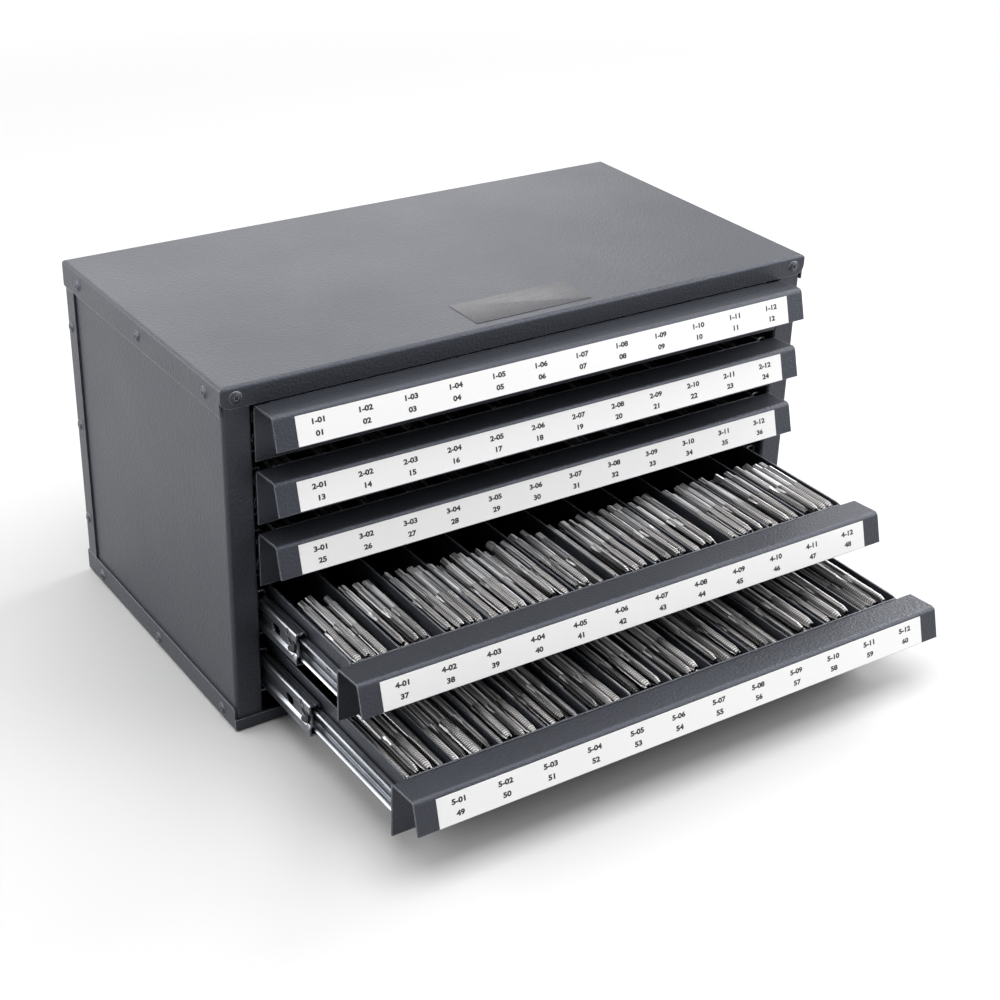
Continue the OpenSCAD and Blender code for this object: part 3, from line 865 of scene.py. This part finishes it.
@dataclass(frozen=True)
class Tap:
    """One hand tap: a square drive, a ground shank, and three straight flutes down to the chamfer."""

    length_mm: float
    shank_mm: float
    square_mm: float = 6.5
    square_share: float = 0.71
    thread_share: float = 0.5
    thread_width_share: float = 0.97
    flute_share: float = 0.4
    flute_half_deg: float = 21.0
    run_out_mm: float = 7.0
    lead_mm: float = 4.0
    tip_share: float = 0.62
    tip_flute_share: float = 0.85
    shoulder_mm: float = 0.5
    even_deg: float = 30.0

    def rows(self, detail: Detail) -> list[tuple[float, float, float, float, float]]:
        """List the rings along the axis, from the drive to the tip.

        Args:
            detail: How closely the tap is modelled.

        Returns:
            Each ring's place, its radius on the lands, on the square's corners and in the flutes, and the
            half width of a flute in degrees.
        """
        r = self.shank_mm / 2
        flat, tip = r * self.square_share, r * self.tip_share
        corner = flat * math.sqrt(2)
        land, deep = r * self.thread_width_share, r * self.flute_share
        half, even = self.flute_half_deg, self.even_deg
        start = self.length_mm * (1 - self.thread_share)
        if detail is Detail.BURIED:
            return [(0, flat, flat, flat, even), (self.square_mm, r, r, r, even),
                    (self.length_mm, tip, tip, tip, even)]
        return [(0, flat, corner, flat, even), (self.square_mm, flat, corner, flat, even),
                (self.square_mm + self.shoulder_mm, r, r, r, even), (start, r, r, r, even),
                (start + self.run_out_mm, land, land, deep, half),
                (self.length_mm - self.lead_mm, land, land, deep, half),
                (self.length_mm, tip, tip, deep * self.tip_flute_share, half)]

    def pattern(self, detail: Detail) -> bpy.types.Mesh:
        """Draw the tap along +Z, from the drive at zero to the tip.

        Args:
            detail: How closely it is modelled.

        Returns:
            Its mesh, with the threaded lands on the second material.
        """
        shape = bmesh.new()
        ring = bmesh.ops.create_circle(shape, cap_ends=True, segments=detail.value, radius=MM)["verts"]
        turn = 360 / len(ring)
        steps = {v: k for k, v in enumerate(ring)}
        end, fluted = shape.faces[:][0], set()
        for row, (place, land, corner, flute, half) in enumerate(self.rows(detail)):
            if row:
                grown = bmesh.ops.extrude_face_region(shape, geom=[end])["geom"]
                end = next(g for g in grown if isinstance(g, bmesh.types.BMFace))
                for v in end.verts:
                    edge = next(e for e in v.link_edges if e.other_vert(v) not in end.verts)
                    steps[v] = steps[edge.other_vert(v)]
            for v in end.verts:
                step = steps[v]
                in_flute = detail is Detail.SHOWN and step % 4 == 0
                if in_flute:
                    fluted.add(v)
                radius = flute if in_flute else corner if step % 3 == 0 else land
                # The ring's points beside each flute lean towards it as the flute narrows.
                narrow = half - self.even_deg
                lean = {1: narrow, 3: -narrow}.get(step % 4, 0) if detail is Detail.SHOWN else 0
                angle = math.radians(step * turn + lean)
                v.co = Vector((math.cos(angle) * radius, math.sin(angle) * radius, place)) * MM
        bmesh.ops.recalc_face_normals(shape, faces=shape.faces)
        start = self.length_mm * (1 - self.thread_share) * MM
        for f in shape.faces:
            f.material_index = int(f.calc_center_median().z > start and not fluted & set(f.verts))
        mesh = bpy.data.meshes.new("tap")
        shape.to_mesh(mesh)
        shape.free()
        return mesh


@dataclass
class Rod:
    """Place of one tap in its heap, in millimetres from the compartment's left wall and floor."""

    across: float
    height: float
    slope: float
    back: float

    def at(self, along: float) -> float:
        """Place across the compartment at a distance from the tap's middle."""
        return self.across + self.slope * (along - self.back)


@dataclass
class TapHeap:
    """The taps of one drawer, dropped one by one into each compartment until it is full."""

    tap: Tap
    drawer: int
    top_mm: float
    front_mm: float = 1.2
    wall_mm: float = 0.8
    foot_mm: float = 6.0
    stagger_mm: float = 4.0
    lay_deg: float = 0.6
    gap_mm: float = 0.05
    cover_share: float = 1.4
    tries: int = 36
    seed: int = 40
    width_mm: float = field(init=False, default=0.0)
    depth_mm: float = field(init=False, default=0.0)

    def support(self, rods: list[Rod], rod: Rod) -> float:
        """Find the lowest height at which a tap rests on the floor, the foot and the taps below.

        Args:
            rods: The taps that already lie there.
            rod: The tap that is dropped, at any height.

        Returns:
            The height of its axis above the floor.
        """
        reach, half = self.tap.shank_mm, self.tap.length_mm / 2
        on_foot = rod.across + reach / 2 > self.width_mm - self.foot_mm
        height = reach / 2 + (self.wall_mm if on_foot else 0)
        for other in rods:
            for along in (-half, 0, half):
                gap = abs(rod.at(along) - other.at(along))
                if gap < reach:
                    height = max(height, other.height + math.sqrt(reach ** 2 - gap ** 2))
        return height

    def drop(self, rods: list[Rod], draw: random.Random) -> Rod:
        """Try places right across the compartment for one more tap and take the lowest.

        Args:
            rods: The taps that already lie there.
            draw: The source of chance.

        Returns:
            The tap's place.
        """
        tried = []
        for k in range(self.tries):
            slope = math.tan(math.radians(draw.uniform(-self.lay_deg, self.lay_deg)))
            room = self.tap.shank_mm / 2 + abs(slope) * self.tap.length_mm / 2 + self.gap_mm
            share = (k + draw.random()) / self.tries
            rod = Rod(room + share * (self.width_mm - 2 * room), 0.0, slope, 0.0)
            rod.height = self.support(rods, rod)
            tried.append(rod)
        best = min(tried, key=lambda rod: rod.height)
        best.back = draw.uniform(0, self.stagger_mm)
        return best

    def fill(self, draw: random.Random) -> list[Rod]:
        """Fill one compartment.

        Args:
            draw: The source of chance.

        Returns:
            Its taps, from the floor up.
        """
        rods: list[Rod] = []
        full = self.depth_mm - self.top_mm - self.tap.shank_mm / 2
        while (rod := self.drop(rods, draw)).height < full:
            rods.append(rod)
        return rods

    def build(self) -> None:
        """Fill every compartment of the drawer."""
        low, high = (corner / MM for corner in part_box(f"tray_{self.drawer}"))
        pitch = (high.x - low.x - 2 * self.wall_mm) / COMPARTMENTS
        self.width_mm = pitch - self.wall_mm
        self.depth_mm = high.z - low.z - self.wall_mm
        patterns = {detail: self.tap.pattern(detail) for detail in Detail}
        draw = random.Random(self.seed + self.drawer)
        shape = bmesh.new()
        middle = low.y + self.wall_mm + self.front_mm + self.tap.length_mm / 2
        for column in range(COMPARTMENTS):
            left = low.x + self.wall_mm * (1 if column == 0 else 1.5) + column * pitch
            rods = self.fill(draw)
            for rod in rods:
                covered = sum(r.height > rod.height + self.tap.shank_mm * self.cover_share
                              and abs(r.across - rod.across) < self.tap.shank_mm for r in rods)
                detail = Detail.BURIED if covered > 1 else Detail.SHOWN
                place = Vector((left + rod.across, middle + rod.back, low.z + self.wall_mm + rod.height)) * MM
                stamp(shape, patterns[detail], Matrix.Translation(place)
                      @ Matrix.Rotation(-math.atan(rod.slope), 4, "Z")
                      @ Matrix.Rotation(math.pi / 2, 4, "X")
                      @ Matrix.Rotation(draw.uniform(0, math.pi), 4, "Z")
                      @ Matrix.Translation((0, 0, -self.tap.length_mm / 2 * MM)))
        finished_piece(f"taps_{self.drawer}", shape, [GroundSteel(), CutThread()], f"drawer_{self.drawer}")


@dataclass
class SlideStops:
    """End stops of the middle slide members: a black S-shaped hook over a bright steel tab.

    The path gives each point's place behind the member's front end, its height above the
    member's middle, and its share of the width. The tab's place is inwards, behind that end and
    above that middle.
    """

    path_mm: tuple[tuple[float, float, float], ...] = (
        (11.9, 7.4, 0.5), (6.6, 7.3, 0.7), (6.0, 4.6, 0.7), (3.0, 1.9, 0.9), (3.9, -1.0, 1.3), (8.4, -2.9, 1.0))
    deep_mm: float = 0.3
    wide_mm: float = 2.6
    flat_share: float = 0.46
    tab_mm: tuple[float, float, float] = (1.0, 3.4, 3.6)
    tab_place_mm: tuple[float, float, float] = (0.2, 1.9, -4.3)
    tab_lean_deg: float = 17.0
    tab_edge_mm: float = 0.3

    def hook(self) -> bpy.types.Mesh:
        """Bend the hook, with Y behind the member's front end and Z above its middle.

        Returns:
            The hook's mesh, flattened against the member.
        """
        curve = bpy.data.curves.new("hook", "CURVE")
        curve.dimensions = "3D"
        curve.bevel_depth = self.wide_mm / 2 * MM
        curve.bevel_resolution = 1
        curve.use_fill_caps = True
        line = curve.splines.new("BEZIER")
        line.resolution_u = 4
        line.bezier_points.add(len(self.path_mm) - 1)
        for point, (y, z, share) in zip(line.bezier_points, self.path_mm):
            point.co = Vector((0, y, z)) * MM
            point.radius = share
            point.handle_left_type = point.handle_right_type = "AUTO"
        holder = bpy.data.objects.new("hook", curve)
        bpy.context.scene.collection.objects.link(holder)
        mesh = bpy.data.meshes.new_from_object(holder.evaluated_get(bpy.context.evaluated_depsgraph_get()))
        mesh.transform(Matrix.Diagonal((self.flat_share, 1, 1, 1)))
        bpy.data.objects.remove(holder)
        bpy.data.curves.remove(curve)
        return mesh

    def tab(self) -> bpy.types.Mesh:
        """Shape the tab under the hook, round its own middle.

        Returns:
            The tab's mesh, on the second material.
        """
        shape = bmesh.new()
        bmesh.ops.create_cube(shape, size=1.0)
        bmesh.ops.scale(shape, verts=shape.verts, vec=Vector(self.tab_mm) * MM)
        bmesh.ops.bevel(shape, geom=shape.edges[:], offset=self.tab_edge_mm * MM, segments=2, profile=0.5,
                        affect="EDGES", material=-1)
        for f in shape.faces:
            f.material_index = 1
        mesh = bpy.data.meshes.new("tab")
        shape.to_mesh(mesh)
        shape.free()
        return mesh

    def build(self, drawer: int) -> None:
        """Clip a stop into the left and the right member.

        Args:
            drawer: The drawer's number.
        """
        shape = bmesh.new()
        hook, tab = self.hook(), self.tab()
        for low, high in solids(f"middle_rails_{drawer}"):
            side = math.copysign(1, low.x)
            web = (low.x if side < 0 else high.x) - side * self.deep_mm * MM
            place = Matrix.Translation((web, low.y, (low.z + high.z) / 2))
            stamp(shape, hook, place)
            inward, behind, up = self.tab_place_mm
            stamp(shape, tab, place @ Matrix.Translation(Vector((-side * inward, behind, up)) * MM)
                  @ Matrix.Rotation(-side * math.radians(self.tab_lean_deg), 4, "Y"))
        bpy.data.meshes.remove(hook)
        bpy.data.meshes.remove(tab)
        finished_piece(f"slide_stops_{drawer}", shape,
                       [NODE_FINISHES[Slot.CAGE_PLASTIC], NODE_FINISHES[Slot.ZINC]], f"middle_{drawer}")


@dataclass(frozen=True)
class Softbox:
    """One soft lamp, in metres, where a radiance of one is white paper in full light."""

    name: str
    place: tuple[float, float, float]
    width: float
    height: float
    radiance: float

    def hang(self, aim: Vector) -> None:
        """Hang the lamp so that it faces a point.

        Args:
            aim: The point.
        """
        data = bpy.data.lights.new(self.name, "AREA")
        data.shape = "RECTANGLE"
        data.size = self.width
        data.size_y = self.height
        data.energy = self.radiance * math.pi * self.width * self.height
        lamp = bpy.data.objects.new(self.name, data)
        turn = (aim - Vector(self.place)).to_track_quat("-Z", "Y").to_matrix().to_4x4()
        lamp.matrix_world = Matrix.Translation(self.place) @ turn
        bpy.context.scene.collection.objects.link(lamp)


SOFTBOXES = (
    Softbox("top_softbox", (0.0, -0.25, 1.35), 1.4, 1.0, 4.2),
    Softbox("rear_panel", (0.3, 1.4, 1.0), 1.8, 1.2, 1.5),
    Softbox("left_panel", (-1.3, 0.6, 0.55), 1.6, 1.2, 4.2),
    Softbox("right_strip", (1.2, 0.15, 0.65), 0.8, 0.4, 13.0),
    Softbox("right_softbox", (1.25, -0.95, 0.95), 1.4, 1.2, 4.0),
)


@dataclass
class Studio:
    """The photograph's camera, a white paper floor and soft lamps."""

    azimuth_deg: float = -34.309
    elevation_deg: float = 28.233
    roll_deg: float = 1.779
    focal_share: float = 1.82549
    right_mm: float = 15.235
    up_mm: float = -75.733
    distance_mm: float = 1022.454
    sensor_mm: float = 36.0
    floor_m: float = 12.0
    sky: float = 0.2
    aim: tuple[float, float, float] = (0.0, 0.0, 0.08)

    def camera(self) -> None:
        """Stand the camera where the photograph was taken."""
        a, e, r = (math.radians(v) for v in (self.azimuth_deg, self.elevation_deg, self.roll_deg))
        back = Vector((math.sin(a) * math.cos(e), -math.cos(a) * math.cos(e), math.sin(e)))
        level = Vector((math.cos(a), math.sin(a), 0))
        upright = back.cross(level)
        right = math.cos(r) * level + math.sin(r) * upright
        up = math.cos(r) * upright - math.sin(r) * level
        front = Vector((0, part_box("lid")[0].y, 0))
        eye = front + (back * self.distance_mm - right * self.right_mm - up * self.up_mm) * MM
        data = bpy.data.cameras.new("photo_camera")
        data.sensor_width = self.sensor_mm
        data.lens = self.sensor_mm * self.focal_share
        camera = bpy.data.objects.new("photo_camera", data)
        camera.matrix_world = Matrix.Translation(eye) @ Matrix((right, up, back)).transposed().to_4x4()
        bpy.context.scene.collection.objects.link(camera)
        bpy.context.scene.camera = camera

    def build(self) -> None:
        """Set up the camera, the floor and the light."""
        self.camera()
        self.floor()
        self.world()
        for softbox in SOFTBOXES:
            softbox.hang(Vector(self.aim))
        bpy.context.scene.view_settings.view_transform = "Standard"

    def floor(self) -> None:
        """Lay the paper."""
        shape = bmesh.new()
        bmesh.ops.create_grid(shape, x_segments=1, y_segments=1, size=self.floor_m / 2)
        mesh = bpy.data.meshes.new("floor")
        shape.to_mesh(mesh)
        shape.free()
        mesh.materials.append(StudioFloor().material())
        floor = bpy.data.objects.new("floor", mesh)
        bpy.context.scene.collection.objects.link(floor)

    def world(self) -> None:
        """Make the world dim as a light, and white where the camera or a mirroring surface sees it."""
        world = bpy.data.worlds.new("studio")
        bpy.context.scene.world = world
        world.use_nodes = True
        tree = world.node_tree
        tree.nodes.clear()
        strength = ranged(tree, looked_at(tree), self.sky, 1.0, 0.0, 1.0)
        sky = add_node(tree, "ShaderNodeBackground", {"Color": (1, 1, 1, 1), "Strength": strength})
        add_node(tree, "ShaderNodeOutputWorld", {"Surface": sky.outputs[0]})


# For each drawer, its taps and how far the full heaps stay below the tray's top, in millimetres.
HEAPS: dict[int, tuple[Tap, float]] = {
    1: (Tap(54.0, 4.3), 7.0),
    2: (Tap(54.0, 4.3), 7.0),
    3: (Tap(60.3, 4.9), 7.0),
    4: (Tap(60.3, 4.9), -1.3),
    5: (Tap(60.3, 5.2), -1.3),
}


def main() -> None:
    """Dress the frame, add the loose detail and set up the studio."""
    logging.basicConfig(level=logging.INFO, format="%(message)s")
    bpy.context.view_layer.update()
    Casing().dress()
    CasingScrews().build()
    FoilPlate().build()
    for drawer in DRAWERS:
        LabelPrint().build(drawer)
        SlideStops().build(drawer)
        tap, top_mm = HEAPS[drawer]
        TapHeap(tap, drawer, top_mm).build()
    Studio().build()


if __name__ == "__main__":
    main()
